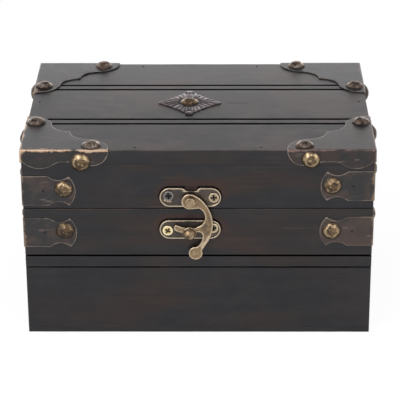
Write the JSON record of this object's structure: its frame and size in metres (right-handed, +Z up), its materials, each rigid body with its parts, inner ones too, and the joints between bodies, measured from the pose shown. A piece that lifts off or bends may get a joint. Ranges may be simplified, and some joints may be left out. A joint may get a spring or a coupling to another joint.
{
  "type": "jewelry box",
  "caption": "Small dark wooden jewelry box with a hinged lid, bronzed corner protectors and straps, dome nails, a diamond lid ornament and a swing-hook latch.",
  "frame": {"origin": "middle of the box's underside", "axes": "+X to the right along the box's width, seen from the front; +Y from the front with the latch to the rear with the hinges; +Z up"},
  "size_m": [0.1662, 0.1223, 0.0965],
  "materials": {
    "wood": "near-black stain under a thin satin lacquer, rubbed through to brown in places",
    "protector_metal": "thin sheet metal with a grey-black antique finish and worn bright edges",
    "strap_metal": "thin sheet metal with a dull brown antique finish and worn edges",
    "nail_brass": "antique brass, hammered, bright on the high places",
    "latch_bronze": "antique bronze, dark in the hollows and bright on the rims",
    "latch_screw_brass": "brass, partly tarnished",
    "hinge_steel": "dull steel",
    "brad_steel": "dark steel"
  },
  "bodies": {
    "base": {"base_bottom_board": "wood", "base_front_board": "wood", "base_back_board": "wood", "base_left_board": "wood", "base_right_board": "wood", "base_strap_front_left": "strap_metal", "base_strap_front_right": "strap_metal", "base_strap_rear_left": "strap_metal", "base_strap_rear_right": "strap_metal", "base_strap_nails": "nail_brass", "catch_plate": "latch_bronze", "catch_plate_screws": "latch_screw_brass", "catch_stud": "latch_bronze", "hinge_left_base_leaf": "hinge_steel", "hinge_right_base_leaf": "hinge_steel", "hinge_left_pin": "hinge_steel", "hinge_right_pin": "hinge_steel", "base_hinge_screws": "hinge_steel", "bottom_board_brads": "brad_steel"},
    "lid": {"lid_top_board": "wood", "lid_front_rail": "wood", "lid_back_rail": "wood", "lid_left_rail": "wood", "lid_right_rail": "wood", "protector_front_left": "protector_metal", "protector_front_right": "protector_metal", "protector_rear_left": "protector_metal", "protector_rear_right": "protector_metal", "diamond_ornament": "protector_metal", "lid_strap_front_left": "strap_metal", "lid_strap_front_right": "strap_metal", "lid_strap_rear_left": "strap_metal", "lid_strap_rear_right": "strap_metal", "protector_nails": "nail_brass", "lid_strap_nails": "nail_brass", "diamond_nail": "nail_brass", "latch_plate": "latch_bronze", "latch_rivet": "latch_bronze", "latch_plate_screws": "latch_screw_brass", "hinge_left_lid_leaf": "hinge_steel", "hinge_right_lid_leaf": "hinge_steel", "lid_hinge_screws": "hinge_steel", "top_board_brads": "brad_steel"},
    "latch_hook": {"latch_hook": "latch_bronze"}
  },
  "joints": [
    {"name": "lid_hinge", "type": "hinge", "parent": "base", "child": "lid", "pos_m": [0, 0.0535, 0.064], "axis": [-1, 0, 0], "range_deg": [0, 104]},
    {"name": "hook_pivot", "type": "hinge", "parent": "lid", "child": "latch_hook", "pos_m": [-0.0035, -0.055, 0.0685], "axis": [0, -1, 0], "range_deg": [0, 120]}
  ]
}
